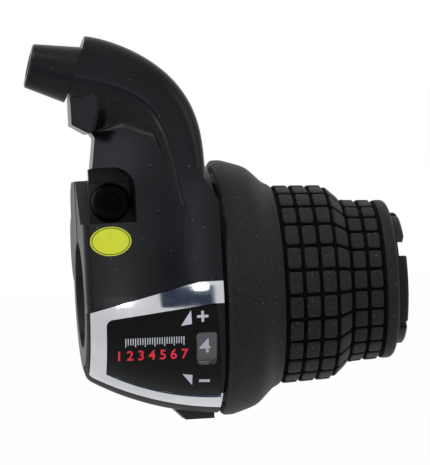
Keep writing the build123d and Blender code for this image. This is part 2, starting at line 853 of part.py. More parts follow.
pieces = [
    base_housing,
    bar_sleeve,
    front_cover,
    indicator_bezel,
    indicator_lens,
    indicator_window,
    cable_nozzle,
    cable_liner,
    clamp_bolt,
    clamp_washer,
    clamp_nut,
    cover_screws,
    detent_spring,
    spring_screw,
    thrust_washer,
    end_washer,
    grip_core,
    rubber_grip,
    cable_spool,
    detent_ring,
    indicator_dial,
]
os.makedirs("parts", exist_ok=True)
for make in pieces:
    export_step(make(), f"parts/{make.__name__}.step")
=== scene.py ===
# %% [markdown]
# # A twist grip shifter, dressed for its portrait
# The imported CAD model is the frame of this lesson: every solid is already in its place, in metres, and rides on
# the body that it moves with. What is added here is what a maker adds last: the camera and the light, the finish
# of each material, and the fine pieces that are printed, stuck or moulded on.

# %% Load the frame
import json
from math import atan2, ceil, cos, degrees, hypot, pi, radians, sin, tan

import bpy
from mathutils import Matrix, Vector

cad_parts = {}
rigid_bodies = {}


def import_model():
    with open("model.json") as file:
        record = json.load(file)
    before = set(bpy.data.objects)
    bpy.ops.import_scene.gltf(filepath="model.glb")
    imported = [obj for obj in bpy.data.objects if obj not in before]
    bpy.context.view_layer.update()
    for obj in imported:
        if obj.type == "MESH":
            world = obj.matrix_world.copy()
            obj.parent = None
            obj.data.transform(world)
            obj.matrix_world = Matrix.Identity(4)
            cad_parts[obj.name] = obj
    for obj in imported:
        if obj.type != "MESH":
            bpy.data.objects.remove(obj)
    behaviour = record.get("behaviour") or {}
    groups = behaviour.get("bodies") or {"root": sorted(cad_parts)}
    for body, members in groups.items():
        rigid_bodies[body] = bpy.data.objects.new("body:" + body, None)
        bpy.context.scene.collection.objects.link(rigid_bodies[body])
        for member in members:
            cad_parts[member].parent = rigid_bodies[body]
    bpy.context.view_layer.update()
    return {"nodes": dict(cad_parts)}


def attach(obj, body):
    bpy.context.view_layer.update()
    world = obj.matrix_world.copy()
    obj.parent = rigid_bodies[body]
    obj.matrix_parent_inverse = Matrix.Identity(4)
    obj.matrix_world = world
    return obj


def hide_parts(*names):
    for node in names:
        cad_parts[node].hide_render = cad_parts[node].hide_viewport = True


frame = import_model()
mm = 0.001

# %% [markdown]
# ## Camera
# The photograph was taken from about where the rider's eyes are: level with the handlebar, a little to the left
# of straight on. The bar rises slightly to the right in the picture, so the camera is rolled by the same few
# degrees. A short lens close by would frame the part as well, but a long lens far away keeps the grip's rings
# nearly straight, as they are in the picture.

# %% Camera
aim = Vector((0.7, 0.0, 11.6)) * mm
distance = 780 * mm
turn_left = radians(6.3)
roll = radians(-3.0)
frame_height = 97.9 * mm
film_width = 36
nearest_seen = 50 * mm

eye = aim + distance * Vector((-sin(turn_left), -cos(turn_left), 0))
bpy.ops.object.select_all(action="DESELECT")
bpy.ops.object.camera_add(location=eye)
camera = bpy.context.object
camera.name = "portrait_camera"
facing = (aim - eye).to_track_quat("-Z", "Y").to_matrix()
camera.rotation_euler = (facing @ Matrix.Rotation(roll, 3, "Z")).to_euler()
camera.data.sensor_width = film_width
camera.data.lens = film_width * distance / frame_height
camera.data.clip_start = nearest_seen
bpy.context.scene.camera = camera
print("camera: lens", round(camera.data.lens, 1), "mm")

# %% [markdown]
# ## Small helpers for nodes
# The world, the effects and the materials are all trees of nodes. Wiring each socket by hand takes many lines
# that say little, so a few helpers do it: one adds a node with its settings and feeds its inputs, from another
# socket or with a plain value, one does arithmetic, and one mixes two shaders.


# %% Helpers for nodes
def node(tree, kind, inputs=None, **settings):
    """Adds a node with its settings, and feeds its inputs with sockets or plain values."""
    made = tree.nodes.new(kind)
    for key, value in settings.items():
        setattr(made, key, value)
    for label, value in (inputs or {}).items():
        if hasattr(value, "is_output"):
            tree.links.new(value, made.inputs[label])
        else:
            made.inputs[label].default_value = value
    return made


def reckon(tree, operation, first, second=0.0):
    """A math node on two sockets or numbers."""
    return node(tree, "ShaderNodeMath", {0: first, 1: second}, operation=operation).outputs[0]


def mix_shaders(tree, share, first, second):
    """Mixes two shader nodes by a share."""
    shaders = {"Fac": share, 1: first.outputs[0], 2: second.outputs[0]}
    return node(tree, "ShaderNodeMixShader", shaders).outputs[0]


def plain_sight(tree):
    """One where a ray comes from the camera, a mirror or glass, and zero where it only carries light."""
    rays = node(tree, "ShaderNodeLightPath").outputs
    total = rays["Is Camera Ray"]
    for kind in ("Is Glossy Ray", "Is Transmission Ray"):
        total = reckon(tree, "MAXIMUM", total, rays[kind])
    return total


def bare_material(name):
    """A new material, with its node tree and its shader."""
    made = bpy.data.materials.new(name)
    made.use_nodes = True
    return made, made.node_tree, made.node_tree.nodes["Principled BSDF"]


# %% [markdown]
# ## Air
# The picture is a catalogue photograph: soft light from all round, a white ground and no hard shadow. A pale,
# slightly blue world fills the shadows. Turning it up until it is white would bleach the part, so it stays low
# for light, and is white only where the camera, a mirror or glass looks straight at it.

# %% World
fill_colour = (0.86, 0.92, 1.0, 1)
fill_strength = 0.42
white = (1, 1, 1, 1)
white_strength = 1.0

bpy.context.scene.view_settings.view_transform = "Standard"
world = bpy.data.worlds.new("studio_air")
bpy.context.scene.world = world
world.use_nodes = True
air = world.node_tree
air.nodes.clear()
fill = node(air, "ShaderNodeBackground", {"Color": fill_colour, "Strength": fill_strength})
ground = node(air, "ShaderNodeBackground", {"Color": white, "Strength": white_strength})
sky = mix_shaders(air, plain_sight(air), fill, ground)
node(air, "ShaderNodeOutputWorld", {"Surface": sky})
print("world: pale fill, white in plain sight")

# %% [markdown]
# ## Lamps
# Three wide lamps, above, left and right, give the dark plastic its long soft highlights. Two small ones do what
# a wide lamp can't: one makes the bright spark on the chrome, and a low one lights the edges that face down.
# Places and sizes are in metres.


# %% Lamps
def lamp(name, where, size, watts, colour):
    """A square lamp that looks at the middle of the part."""
    bpy.ops.object.select_all(action="DESELECT")
    bpy.ops.object.light_add(type="AREA", location=where)
    made = bpy.context.object
    made.name = name
    made.data.size = size
    made.data.energy = watts
    made.data.color = colour
    made.rotation_euler = (aim - Vector(where)).to_track_quat("-Z", "Y").to_euler()
    print("lamp:", name, watts, "W")


neutral = (1.0, 1.0, 1.0)
cool = (0.84, 0.91, 1.0)
cool_spark = (0.86, 0.93, 1.0)
warm = (1.0, 0.98, 0.95)
lamp("lamp_above", where=(-0.3, -0.35, 0.85), size=0.4, watts=4.8, colour=neutral)
lamp("lamp_left", where=(-0.7, -0.65, 0.32), size=0.45, watts=1.5, colour=cool)
lamp("lamp_right", where=(0.75, -0.55, 0.35), size=0.5, watts=1.4, colour=warm)
lamp("lamp_spark", where=(-0.054, -0.285, 0.011), size=0.024, watts=0.024, colour=cool_spark)
lamp("lamp_low", where=(-0.3, -0.3, -0.06), size=0.06, watts=0.16, colour=neutral)

# %% [markdown]
# ## Floor
# The floor lies well below the part, which hangs where a handlebar would hold it. It could be left out, but then
# the part would cast no shadow. It is grey paper that is lifted almost to white in plain sight, so that it joins
# the white ground and still keeps a share of the shadow.

# %% Floor
floor_size = 12.0
floor_height = -85 * mm
paper_grey = (0.86, 0.86, 0.86, 1)
paper_roughness = 0.9
lifted_share = 0.98

bpy.ops.object.select_all(action="DESELECT")
bpy.ops.mesh.primitive_plane_add(size=floor_size, location=(0, 0, floor_height))
floor = bpy.context.object
floor.name = "floor"
floor_paper, tree, matte = bare_material("floor_paper")
matte.inputs["Base Color"].default_value = paper_grey
matte.inputs["Roughness"].default_value = paper_roughness
lift = node(tree, "ShaderNodeEmission", {"Color": white})
share = reckon(tree, "MULTIPLY", plain_sight(tree), lifted_share)
tree.links.new(mix_shaders(tree, share, matte, lift), tree.nodes["Material Output"].inputs["Surface"])
floor.data.materials.append(floor_paper)
print("floor: white paper")

# %% [markdown]
# ## A card for the chrome
# Chrome has no colour of its own. In a white studio it is white all over, and looks like paint. Photographers hold
# a dark card beside the camera, so that the chrome has something to mirror, and so is done here. The camera itself
# doesn't see the card.

# %% Dark card
card_middle = (-0.086, -0.295, -0.032)
card_size = (0.12, 0.1, 1)
card_turn = radians(-17)
card_colour = (0.05, 0.075, 0.13, 1)
card_roughness = 0.8

bpy.ops.object.select_all(action="DESELECT")
bpy.ops.mesh.primitive_plane_add(size=1, location=card_middle)
card = bpy.context.object
card.name = "dark_card"
card.scale = card_size
card.rotation_euler = (radians(90), 0, card_turn)
card.visible_camera = False
card_black, tree, matte = bare_material("card_black")
matte.inputs["Base Color"].default_value = card_colour
matte.inputs["Roughness"].default_value = card_roughness
card.data.materials.append(card_black)
print("card: dark, for the mirror only")

# %% [markdown]
# ## Effects that several finishes share
# Moulded plastic, rubber, plating and paint look real through small things: a grain that breaks up the highlight,
# broad patches that are a little duller where hands touch, a few specks of dust, hairline scratches. Each of these
# could be drawn again in every material. Here each is built once, as a shader node group with named inputs, and
# placed in every material that needs it with its own values. The groups read Object coordinates, which are metres
# here, so a scale of 4000 is a grain of about a quarter of a millimetre.


# %% A helper that starts an effect group
def effect(name, inputs, outputs):
    """An empty node group with number inputs and named outputs, with its two ends."""
    group = bpy.data.node_groups.new(name, "ShaderNodeTree")
    for label, value in inputs.items():
        socket = group.interface.new_socket(label, in_out="INPUT", socket_type="NodeSocketFloat")
        socket.default_value = value
    for label in outputs:
        group.interface.new_socket(label, in_out="OUTPUT", socket_type="NodeSocketFloat")
    print("effect:", name, "gives", ", ".join(outputs))
    return group, node(group, "NodeGroupInput").outputs, node(group, "NodeGroupOutput").inputs


def object_place(tree):
    return node(tree, "ShaderNodeTexCoord").outputs["Object"]


def object_axes(tree):
    """The three coordinates of a place on the surface, as separate sockets."""
    return node(tree, "ShaderNodeSeparateXYZ", {0: object_place(tree)}).outputs


# %% [markdown]
# A mould is spark-eroded or blasted, and leaves its texture on the plastic. A noise of fine scale gives that
# height, and a second one, broad and soft, says where the surface is a little paler or duller.

# %% Grain: a fine height, and broad soft patches
grain, given, results = effect("moulded_grain", {"Fine": 5000.0, "Broad": 60.0}, ["Height", "Patches"])
where = object_place(grain)
for scale, result, detail in (("Fine", "Height", 3), ("Broad", "Patches", 4)):
    noise = node(grain, "ShaderNodeTexNoise", {"Vector": where, "Scale": given[scale], "Detail": detail})
    grain.links.new(noise.outputs["Fac"], results[result])

# %% [markdown]
# Dust is a scatter of tiny specks. A Voronoi texture gives one point to each cell of a fine net. A speck is what
# lies close to that point, and the random colour of each cell decides which few of the specks stay.

# %% Dust: tiny specks, most of them left out by chance
dust, given, results = effect("dust_specks", {"Density": 900.0, "Size": 0.085, "Share": 0.3}, ["Mask"])
cells = node(dust, "ShaderNodeTexVoronoi", {"Vector": object_place(dust), "Scale": given["Density"]}).outputs
speck = reckon(dust, "LESS_THAN", cells["Distance"], given["Size"])
chance = node(dust, "ShaderNodeSeparateColor", {"Color": cells["Color"]}).outputs["Red"]
kept = reckon(dust, "LESS_THAN", chance, given["Share"])
dust.links.new(reckon(dust, "MULTIPLY", speck, kept), results["Mask"])

# %% [markdown]
# Metal that is wiped or handled has long thin scratches. They come from a noise that is stretched along the bar:
# where it passes its middle value it draws thin lines, and only those are kept.

# %% Hairlines: long thin scratches along the bar, from a stretched noise
noise_middle = 0.5
noise_detail = 2
hair, given, results = effect("hairlines", {"Scale": 900.0, "Along": 0.04, "Width": 0.02}, ["Mask"])
axes = object_axes(hair)
along = reckon(hair, "MULTIPLY", axes["X"], given["Along"])
stretched = node(hair, "ShaderNodeCombineXYZ", {"X": along, "Y": axes["Y"], "Z": axes["Z"]}).outputs[0]
streaks = node(
    hair, "ShaderNodeTexNoise", {"Vector": stretched, "Scale": given["Scale"], "Detail": noise_detail})
apart = reckon(hair, "ABSOLUTE", reckon(hair, "SUBTRACT", streaks.outputs["Fac"], noise_middle))
hair.links.new(reckon(hair, "LESS_THAN", apart, given["Width"]), results["Mask"])

# %% [markdown]
# ## A way to put a material together
# Colours are written as they are seen, in the usual 0 to 255, and turned into the linear values that the shader
# wants. A material then says only what differs: its two colours, between which the broad patches move, its range
# of roughness, and how deep its grain is.


# %% Helpers for colours and masks
def seen_colour(red, green, blue):
    """A colour as a picture editor gives it, as the linear colour that the shader wants."""
    parts = [value / 255 for value in (red, green, blue)]
    return (*[p / 12.92 if p <= 0.04045 else ((p + 0.055) / 1.055) ** 2.4 for p in parts], 1)


def place(tree, group, **values):
    """Places an effect in a material, with its own values."""
    return node(tree, "ShaderNodeGroup", values, node_tree=group).outputs


def blend_colours(tree, mask, low, high):
    """Mixes two colours, or a colour socket and a colour, by a mask."""
    return node(tree, "ShaderNodeMix", {"Factor": mask, 6: low, 7: high}, data_type="RGBA").outputs[2]


def spread(tree, value, low, high, start=0.3, end=0.7):
    """Maps the middle of a noise to a range of values."""
    ends = {"Value": value, "From Min": start, "From Max": end, "To Min": low, "To Max": high}
    return node(tree, "ShaderNodeMapRange", ends).outputs["Result"]


# %% Helpers for materials
fleck_colour = seen_colour(70, 69, 68)
fleck_range = (0.35, 0.65)
dust_colour = seen_colour(120, 120, 118)


def shader_of(material):
    return material.node_tree.nodes["Principled BSDF"]


def finish(name, dark, light, rough, fine=5000.0, broad=60.0, depth=0.02, strength=0.25,
           dusty=0.0, shine=0.5, mottle=0.0):
    """A grained surface, whose colour goes from dark to light, and its roughness with it, in broad patches.

    The grain has a fine scale, a depth in millimetres and a strength. Dusty is the share of the dust that stays,
    shine the strength of the reflection, and mottle the strength of pale flecks.
    """
    made, tree, shader = bare_material(name)
    skin = place(tree, grain, Fine=fine, Broad=broad)
    patches = spread(tree, skin["Patches"], 0, 1)
    colour = blend_colours(tree, patches, seen_colour(*dark), seen_colour(*light))
    if mottle:
        flecks = spread(tree, skin["Height"], 0, mottle, *fleck_range)
        colour = blend_colours(tree, flecks, colour, fleck_colour)
    if dusty:
        colour = blend_colours(tree, place(tree, dust, Share=dusty)["Mask"], colour, dust_colour)
    tree.links.new(colour, shader.inputs["Base Color"])
    tree.links.new(spread(tree, skin["Patches"], *rough), shader.inputs["Roughness"])
    shader.inputs["Specular IOR Level"].default_value = shine
    relief = {"Strength": strength, "Distance": depth * mm, "Height": skin["Height"]}
    tree.links.new(node(tree, "ShaderNodeBump", relief).outputs["Normal"], shader.inputs["Normal"])
    print("finish:", name)
    return made


def dress(material, *names):
    """Gives a material to CAD nodes."""
    for name in names:
        frame["nodes"][name].material_slots[0].material = material


# %% [markdown]
# ## Moulded plastic
# The housing, cover and nozzle are glass-filled nylon: nearly black, with a fine grain that spreads the highlights
# and a cool sheen. Plain black would look like a hole in the picture, so each finish moves between two near-blacks.
# The sleeve and the core under the rubber are the same stuff, a little duller, and the inner pieces that slide are
# natural white acetal.

# %% Plastics
cover_plastic = finish("cover_plastic", (11, 11, 14), (18, 18, 22), (0.22, 0.32), dusty=0.15, shine=0.13)
dress(cover_plastic, "front_cover", "cable_nozzle")

housing_plastic = finish("housing_plastic", (20, 20, 22), (28, 28, 29), (0.40, 0.52), dusty=0.3, shine=0.28)
dress(housing_plastic, "base_housing")

sleeve_plastic = finish("sleeve_plastic", (13, 13, 14), (19, 19, 20), (0.38, 0.5), dusty=0.05, shine=0.15)
dress(sleeve_plastic, "bar_sleeve", "grip_core", "end_washer")

inner_plastic = finish("inner_plastic", (214, 211, 202), (228, 226, 219), (0.35, 0.45))
dress(inner_plastic, "cable_liner", "thrust_washer", "cable_spool")

dial_plastic = finish("dial_plastic", (44, 46, 52), (52, 54, 60), (0.45, 0.55), shine=0.2)
dress(dial_plastic, "indicator_dial")

# %% [markdown]
# ## Rubber
# The grip is a soft rubber, matte and a little warm beside the plastic. It has almost no highlight, only a pale
# bloom at grazing angles, which is what the shader's sheen is for. The grooves between its blocks have a darker,
# duller rubber of their own: its darker colour is painted shade in the grooves. The CAD grip keeps the rubber
# too, though the moulded grip that is made further on stands in for it.

# %% Rubber
bloom = 0.05
bloom_roughness = 0.5
grip_rubber = finish(
    "grip_rubber", (11, 11, 10), (25, 24, 23), (0.5, 0.7), fine=3000.0, broad=60.0, depth=0.05, strength=0.5,
    dusty=0.4, shine=0.1, mottle=0.2)
shader_of(grip_rubber).inputs["Sheen Weight"].default_value = bloom
shader_of(grip_rubber).inputs["Sheen Roughness"].default_value = bloom_roughness
dress(grip_rubber, "rubber_grip")
# painted shade: the groove rubber is painted darker than the blocks, for the shade in the grooves
groove_shade_rubber = finish(
    "groove_shade_rubber", (7, 7, 7), (13, 13, 12), (0.75, 0.9), fine=3500.0, depth=0.04, shine=0.05)

# %% [markdown]
# ## Plating
# The bezel is chrome-plated plastic: a mirror with faint smudges and hairlines. A perfect mirror is easy to set
# and looks drawn, so the roughness rises a little in patches and in the scratches.


# %% Chrome
scratch_roughness = 0.1


def source(shader, label):
    """The socket that feeds an input of a shader."""
    return shader.inputs[label].links[0].from_socket


def metal(name, dark, light, rough, **scratches):
    """A metal whose roughness rises in its hairlines."""
    made = finish(name, dark, light, rough, broad=140.0, depth=0.004, strength=0.08)
    tree, shader = made.node_tree, shader_of(made)
    shader.inputs["Metallic"].default_value = 1
    lines = place(tree, hair, **scratches)["Mask"]
    terms = {0: lines, 1: scratch_roughness, 2: source(shader, "Roughness")}
    worn = node(tree, "ShaderNodeMath", terms, operation="MULTIPLY_ADD")
    tree.links.new(worn.outputs[0], shader.inputs["Roughness"])
    return made


bezel_chrome = metal("bezel_chrome", (188, 189, 193), (203, 204, 208), (0.05, 0.11), Width=0.006)
dress(bezel_chrome, "indicator_bezel")

# %% [markdown]
# The chrome is painted black and matte in a thin rim below and at the left, as painted shade along those edges.
# The narrow leg beside the window is painted black too. A second solid could carry the rim. A mask by place is
# simpler, and it follows the edge exactly: where it is one, the surface is black and matte, not metal.

# %% Black rim on the chrome: painted shade below and at the left
rim_angle = radians(70.5)
rim_left = -27.8 * mm
leg_left = -3.0 * mm
leg_top = -2.8 * mm
leg_foot = -21.6 * mm
# painted shade: the black of the rim below and at the left, also used on the leg beside the window
rim_black = seen_colour(14, 14, 16)
rim_roughness = 0.6
rim_shine = 0.14

tree, shader = bezel_chrome.node_tree, shader_of(bezel_chrome)
axes = object_axes(tree)
down = reckon(tree, "MULTIPLY", axes["Z"], -1)
forward = reckon(tree, "MULTIPLY", axes["Y"], -1)
below = reckon(tree, "GREATER_THAN", reckon(tree, "ARCTAN2", down, forward), rim_angle)
beside = reckon(tree, "LESS_THAN", axes["X"], rim_left)
leg = reckon(tree, "GREATER_THAN", axes["X"], leg_left)
for test, limit in (("LESS_THAN", leg_top), ("GREATER_THAN", leg_foot)):
    leg = reckon(tree, "MULTIPLY", leg, reckon(tree, test, axes["Z"], limit))
# the mask of painted shade on the rim, together with the leg beside the window
shade_and_leg_mask = reckon(tree, "MAXIMUM", reckon(tree, "MAXIMUM", below, beside), leg)
rimmed = blend_colours(tree, shade_and_leg_mask, source(shader, "Base Color"), rim_black)
tree.links.new(rimmed, shader.inputs["Base Color"])
tree.links.new(reckon(tree, "SUBTRACT", 1, shade_and_leg_mask), shader.inputs["Metallic"])
matte_rim = reckon(tree, "MULTIPLY", shade_and_leg_mask, rim_roughness)
tree.links.new(reckon(tree, "MAXIMUM", source(shader, "Roughness"), matte_rim), shader.inputs["Roughness"])
shader.inputs["Specular IOR Level"].default_value = rim_shine
print("finish: black rim on the chrome")

# %% [markdown]
# ## Steel
# The nut, the screws, the leaf and the notched ring are zinc-plated steel, which is duller than chrome. The clamp
# bolt and its washer are given a near-black steel.

# %% Steel
zinc_steel = metal("zinc_steel", (168, 168, 170), (196, 196, 197), (0.26, 0.4), Scale=1600.0)
dress(zinc_steel, "clamp_nut", "cover_screws", "detent_spring", "spring_screw", "detent_ring")
black_steel = metal("black_steel", (11, 11, 12), (17, 17, 18), (0.45, 0.6), Scale=1600.0)
dress(black_steel, "clamp_bolt", "clamp_washer")

# %% [markdown]
# ## Lens and window
# The lens is polished black plastic, and its window is clear. The clear piece is real glass to the shader, with
# all its light let through, so the dial behind it is seen where it is, and shifts as the eye moves.

# %% Lens and window
window_bend = 1.49
window_shine = 0.15
window_roughness = (0.0, 0.06)
window_tints = (seen_colour(240, 242, 250), seen_colour(248, 249, 253))

lens_black = finish("lens_black", (6, 6, 7), (9, 9, 10), (0.05, 0.1), broad=120.0, depth=0.002, strength=0.05,
                    dusty=0.1, shine=0.08)
dress(lens_black, "indicator_lens")

window_clear, tree, shader = bare_material("window_clear")
shader.inputs["Transmission Weight"].default_value = 1
shader.inputs["IOR"].default_value = window_bend
shader.inputs["Specular IOR Level"].default_value = window_shine
patches = place(tree, grain, Fine=900.0, Broad=150.0)["Patches"]
tree.links.new(blend_colours(tree, patches, *window_tints), shader.inputs["Base Color"])
tree.links.new(spread(tree, patches, *window_roughness), shader.inputs["Roughness"])
dress(window_clear, "indicator_window")
print("finish: window_clear")

# %% [markdown]
# ## The moulded grip
# The CAD grip has the true profile and the true grid of grooves, with sharp edges, because that is enough for
# weight and contact. Moulded rubber has no sharp edges: each block is a little cushion. So the grip is made again
# here. Its half section is drawn once as a closed loop, spun round the bar in 25 rows of nine steps, and the faces
# that lie in a groove are pushed inwards. One step of subdivision then rounds every block. A displacement map
# could do the same, but it needs far more faces for an edge as clean. Its sizes are in millimetres: along the bar
# from the flange, and out from the bar's axis.


# %% A line with rounded corners
arc_step = radians(15)


def rounded(points, radii):
    """Points along a line whose inner corners are arcs, each about fifteen degrees to a step."""
    line = [Vector(points[0])]
    for before, corner, after, radius in zip(points, points[1:], points[2:], radii):
        corner = Vector(corner)
        back = (Vector(before) - corner).normalized()
        ahead = (Vector(after) - corner).normalized()
        half = back.angle(ahead) / 2
        centre = corner + (back + ahead).normalized() * (radius / sin(half))
        first = corner + back * (radius / tan(half)) - centre
        side = 1 if back.x * ahead.y - back.y * ahead.x < 0 else -1
        steps = max(2, ceil((pi - 2 * half) / arc_step))
        for step in range(steps + 1):
            turn = side * (pi - 2 * half) * step / steps
            swung_x = first.x * cos(turn) - first.y * sin(turn)
            swung_y = first.x * sin(turn) + first.y * cos(turn)
            line.append(centre + Vector((swung_x, swung_y)))
    return line + [Vector(points[-1])]


grip_length = 36.9
rim_width = 2.2
rim_r = 26.8
rim_seat_r = 24.3
drum_seat_r = 18.45
nose_seat_r = 14.15
outer_corners = [
    (0, rim_seat_r), (0, rim_r), (rim_width, rim_r), (7.4, 25.2), (11.5, 20.95), (23.6, 20.45), (27.3, 17.1),
    (grip_length, 16.65), (grip_length, nose_seat_r)]
corner_radii = [0.8, 3.0, 5.0, 4.5, 2.4, 2.4, 1.2]
inner_corners = [
    (26.0, nose_seat_r), (22.3, drum_seat_r), (10.2, drum_seat_r), (4.8, 22.7), (rim_width, rim_seat_r)]
outer_line = rounded(outer_corners, corner_radii)
print("grip: outer line of", len(outer_line), "points")

# %% [markdown]
# The half section needs a point at each edge of a groove, and a few more on each block, so that the subdivision
# has something to hold on to: near the edges it rounds tightly, and in between the block stays flat.

# %% Where the grooves and the blocks lie
groove_width = 0.62
groove_depth = 1.0
block_rows = 25
row_steps = 9
row_turn = 4.6
row_angle = 360 / block_rows
row_edge = row_angle / row_steps / 2
grooves = [12.9, 16.45, 20.0, 23.55, 27.05, 30.4, 33.75]
soft_edge = 0.5


def outer_radius(x):
    """Radius of the grip's outside at a place along the bar."""
    for a, b in zip(outer_line, outer_line[1:]):
        if a.x <= x <= b.x and b.x > a.x:
            return a.y + (b.y - a.y) * (x - a.x) / (b.x - a.x)


edges = [groove + side * groove_width / 2 for groove in grooves for side in (-1, 1)]
stations = list(edges)
for left, right in zip(edges[1::2], edges[2::2]):
    stations += [left + soft_edge, (left + right) / 2, right - soft_edge]
profile = [tuple(point) for point in outer_line if point.x < edges[0] - soft_edge]
profile += [(x, outer_radius(x)) for x in sorted(stations)]
profile += [tuple(point) for point in outer_line if point.x > edges[-1] + soft_edge]
profile += inner_corners
print("grip:", len(profile), "points in the half section,", block_rows * (len(grooves) - 1), "blocks")

# %% [markdown]
# The half section is a ring of vertices, put in place one by one and spun once round the bar. The last step of a
# full spin lies on the first, so the doubles are merged, and the normals are made to point outwards again.

# %% Spin the half section round the bar
merge_distance = 0.005 * mm

bpy.ops.object.select_all(action="DESELECT")
bpy.ops.mesh.primitive_circle_add(vertices=len(profile))
moulded_grip = bpy.context.object
moulded_grip.name = "moulded_grip"
moulded_grip.data.materials.append(grip_rubber)
moulded_grip.data.materials.append(groove_shade_rubber)
start = radians(-row_turn - row_edge)
for vertex, (x, radius) in zip(moulded_grip.data.vertices, profile):
    vertex.co = Vector((x, -radius * sin(start), radius * cos(start))) * mm
bpy.ops.object.mode_set(mode="EDIT")
bpy.ops.mesh.select_all(action="SELECT")
bpy.ops.mesh.spin(steps=block_rows * row_steps, angle=2 * pi, center=(0, 0, 0), axis=(1, 0, 0))
bpy.ops.mesh.select_all(action="SELECT")
bpy.ops.mesh.remove_doubles(threshold=merge_distance)
bpy.ops.mesh.normals_make_consistent(inside=False)
bpy.ops.object.mode_set(mode="OBJECT")
print("grip: spun to", len(moulded_grip.data.polygons), "faces")


# %% Helpers that select by place
def select_where(piece, kind, test):
    """In edit mode, selects the vertices or faces whose place passes a test, and says how many did."""
    bpy.ops.object.mode_set(mode="EDIT")
    bpy.ops.mesh.select_mode(type=kind)
    bpy.ops.mesh.select_all(action="DESELECT")
    bpy.ops.object.mode_set(mode="OBJECT")
    hits = 0
    for part in piece.data.vertices if kind == "VERT" else piece.data.polygons:
        part.select = bool(test(part.co if kind == "VERT" else part.center))
        hits += part.select
    bpy.ops.object.mode_set(mode="EDIT")
    return hits


def row_offset(point):
    """Angle between a point and the middle of the nearest groove along the bar."""
    turn = (degrees(atan2(-point.y, point.z)) + row_turn) % row_angle
    return min(turn, row_angle - turn)


def on_outside(point):
    radius = outer_radius(point.x / mm)
    return radius is not None and hypot(point.y, point.z) / mm > radius - groove_depth / 2


def in_groove(point):
    x = point.x / mm
    ring = min(abs(x - groove) for groove in grooves) < groove_width / 2
    row = row_offset(point) < row_edge and grooves[0] < x < grooves[-1]
    return (ring or row) and on_outside(point)


# %% [markdown]
# The blocks have rounded corners in front view too. Before the grooves are sunk, the vertex at each corner of a
# block is drawn a little into the block. The groove faces are then extruded inwards, and they and their walls get
# the darker rubber, whose colour is painted shade.

# %% Draw in the corners of the blocks, then sink the grooves
corner_shift = 0.38
near = 0.01
near_angle = 0.05

for number, edge in enumerate(edges[1:-1]):
    into_block = 1 if number % 2 == 0 else -1
    select_where(
        moulded_grip, "VERT",
        lambda point: abs(point.x / mm - edge) < near and abs(row_offset(point) - row_edge) < near_angle
        and on_outside(point))
    bpy.ops.transform.translate(value=(into_block * corner_shift * mm, 0, 0))
count = select_where(moulded_grip, "FACE", in_groove)
bpy.ops.mesh.extrude_region_shrink_fatten(TRANSFORM_OT_shrink_fatten={"value": -groove_depth * mm})
bpy.ops.mesh.select_more()
# the grooves and their walls get the rubber with painted shade
moulded_grip.active_material_index = 1
bpy.ops.object.material_slot_assign()
bpy.ops.object.mode_set(mode="OBJECT")
print("grip:", count, "groove faces sunk")

# %% Round the blocks
bpy.ops.object.modifier_add(type="SUBSURF")
soft = moulded_grip.modifiers[-1]
soft.levels = 1
soft.render_levels = 1
bpy.ops.object.modifier_apply(modifier=soft.name)
bpy.ops.object.shade_smooth()
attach(moulded_grip, "grip")
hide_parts("rubber_grip")
print("grip:", len(moulded_grip.data.polygons), "faces")

# %% [markdown]
# ## Prints and the label
# The numbers on the dial, the marks on the lens and the label on the cover are ink and film: no thicker than a
# hair, and they follow the surface under them. Each is drawn flat in front of the part, cut into small faces, and
# dropped on its surface with a shrinkwrap. Painting them in the material would also work, but a print as a piece
# of its own keeps a crisp edge from any distance.


# %% Inks
def ink(name, dark, light):
    return finish(name, dark, light, (0.42, 0.55), fine=7000.0, broad=300.0, depth=0.003, strength=0.1, shine=0.25)


print_white = ink("print_white", (176, 176, 182), (196, 196, 202))
print_pale = ink("print_pale", (238, 238, 248), (246, 246, 252))
print_red = ink("print_red", (206, 34, 46), (228, 48, 60))
label_yellow = ink("label_yellow", (190, 195, 34), (204, 208, 48))
label_dark = ink("label_dark", (26, 27, 16), (34, 35, 22))

# %% Helpers that draw a flat print
front_plane = -32.0 * mm
figure_share = 0.7
bold_share = 0.02


def flat_shape(name, corners):
    """A flat face in front view through corners given in millimetres, in front of the part."""
    bpy.ops.object.select_all(action="DESELECT")
    bpy.ops.mesh.primitive_circle_add(vertices=len(corners), fill_type="NGON")
    made = bpy.context.object
    made.name = name
    for vertex, (x, z) in zip(made.data.vertices, corners):
        vertex.co = (x * mm, front_plane, z * mm)
    return made


def bar(name, left, low, right, high):
    """A flat upright rectangle."""
    return flat_shape(name, [(left, low), (right, low), (right, high), (left, high)])


def lettering(name, text, height, x, z):
    """Plain figures in front view, as a mesh, with their middle at a place given in millimetres."""
    bpy.ops.object.select_all(action="DESELECT")
    bpy.ops.object.text_add(location=(x * mm, front_plane, z * mm), rotation=(pi / 2, 0, 0))
    made = bpy.context.object
    made.name = name
    made.data.body = text
    made.data.size = height / figure_share * mm
    made.data.align_x = "CENTER"
    made.data.align_y = "CENTER"
    made.data.offset = bold_share * made.data.size
    bpy.ops.object.convert(target="MESH")
    bpy.ops.object.transform_apply(location=True, rotation=True, scale=True)
    return bpy.context.object


def joined(name, pieces):
    """Joins pieces into the first of them."""
    bpy.ops.object.select_all(action="DESELECT")
    for piece in pieces:
        piece.select_set(True)
    bpy.context.view_layer.objects.active = pieces[0]
    bpy.ops.object.join()
    pieces[0].name = name
    return pieces[0]


# %% Helpers that lay a print on the part
print_merge_distance = 0.001 * mm
ink_height = 0.03 * mm


def cut_fine(piece, cuts):
    """Cuts the faces of a flat print so that it can follow a curve."""
    bpy.ops.object.mode_set(mode="EDIT")
    bpy.ops.mesh.select_all(action="SELECT")
    bpy.ops.mesh.quads_convert_to_tris()
    bpy.ops.mesh.subdivide(number_cuts=cuts)
    bpy.ops.mesh.remove_doubles(threshold=print_merge_distance)
    bpy.ops.object.mode_set(mode="OBJECT")
    print("cut:", piece.name, "to", len(piece.data.polygons), "faces")


